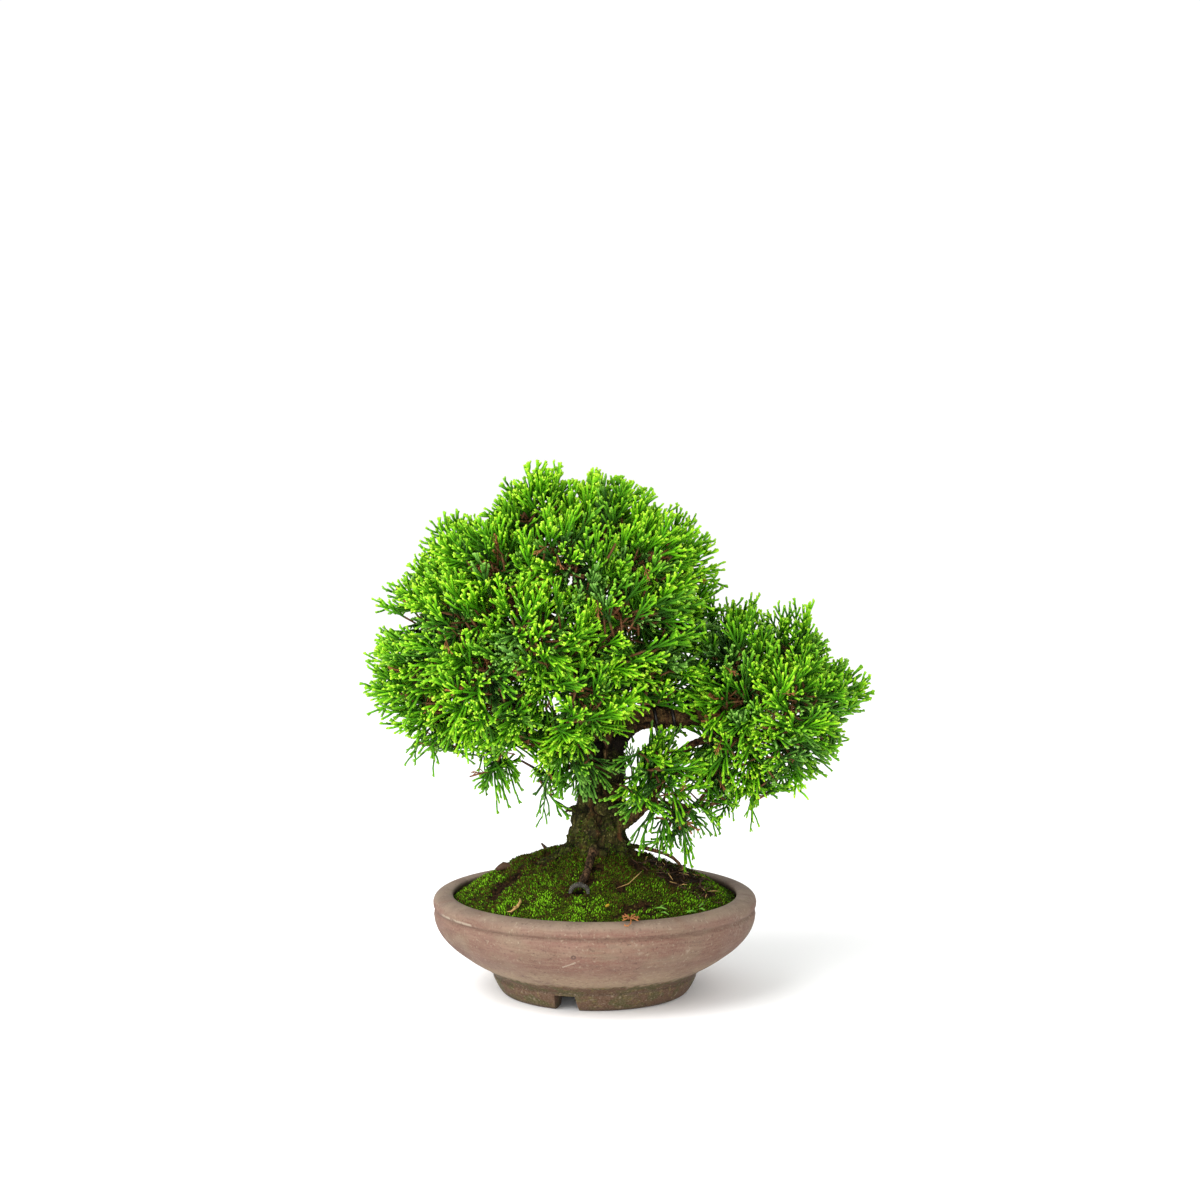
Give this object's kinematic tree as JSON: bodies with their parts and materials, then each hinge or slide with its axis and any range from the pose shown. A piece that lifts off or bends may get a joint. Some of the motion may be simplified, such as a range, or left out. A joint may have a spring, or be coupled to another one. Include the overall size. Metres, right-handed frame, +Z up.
{
  "type": "potted juniper bonsai",
  "caption": "Small juniper bonsai with a domed crown and a side lobe of whipcord foliage, a flared trunk on a mossy mound, and a low round unglazed pot on a notched foot ring.",
  "frame": {"origin": "centre of the base of the whole part's bounding box, on the surface that the pot stands on", "axes": "+Z up the trunk, +X to the side lobe of the crown, -Y towards the front of the pot as pictured"},
  "size_m": [0.278, 0.1806, 0.2927],
  "materials": {
    "clay": "unglazed mauve-brown stoneware, dull",
    "plastic_mesh": "black plastic mesh",
    "soil_and_moss": null,
    "bark": "rough dark bark with moss",
    "dark_wire": "dark anodised training wire",
    "foliage": null
  },
  "bodies": {
    "root": {"drain_screen": "plastic_mesh", "foliage_front_low": "foliage", "foliage_hanging_left": "foliage", "foliage_hanging_small": "foliage", "foliage_lobe_lower_1": "foliage", "foliage_lobe_lower_2": "foliage", "foliage_lobe_lower_3": "foliage", "foliage_lobe_lower_4": "foliage", "foliage_lobe_middle_1": "foliage", "foliage_lobe_middle_2": "foliage", "foliage_lobe_middle_3": "foliage", "foliage_lobe_middle_4": "foliage", "foliage_lobe_middle_5": "foliage", "foliage_lobe_skirt_1": "foliage", "foliage_lobe_skirt_2": "foliage", "foliage_lobe_top_1": "foliage", "foliage_lobe_top_2": "foliage", "foliage_lobe_top_3": "foliage", "foliage_low_fan": "foliage", "foliage_lower_1": "foliage", "foliage_lower_2": "foliage", "foliage_lower_3": "foliage", "foliage_lower_4": "foliage", "foliage_lower_5": "foliage", "foliage_lower_6": "foliage", "foliage_lower_7": "foliage", "foliage_lower_8": "foliage", "foliage_middle_1": "foliage", "foliage_middle_2": "foliage", "foliage_middle_3": "foliage", "foliage_middle_4": "foliage", "foliage_middle_5": "foliage", "foliage_middle_6": "foliage", "foliage_middle_7": "foliage", "foliage_middle_8": "foliage", "foliage_over_trunk": "foliage", "foliage_skirt_1": "foliage", "foliage_skirt_2": "foliage", "foliage_skirt_3": "foliage", "foliage_skirt_4": "foliage", "foliage_top_1": "foliage", "foliage_top_2": "foliage", "foliage_top_3": "foliage", "foliage_upper_1": "foliage", "foliage_upper_2": "foliage", "foliage_upper_3": "foliage", "foliage_upper_4": "foliage", "foliage_upper_5": "foliage", "foliage_upper_6": "foliage", "foliage_upper_7": "foliage", "pot": "clay", "soil": "soil_and_moss", "training_wire": "dark_wire", "trunk_and_branches": "bark"}
  },
  "joints": []
}
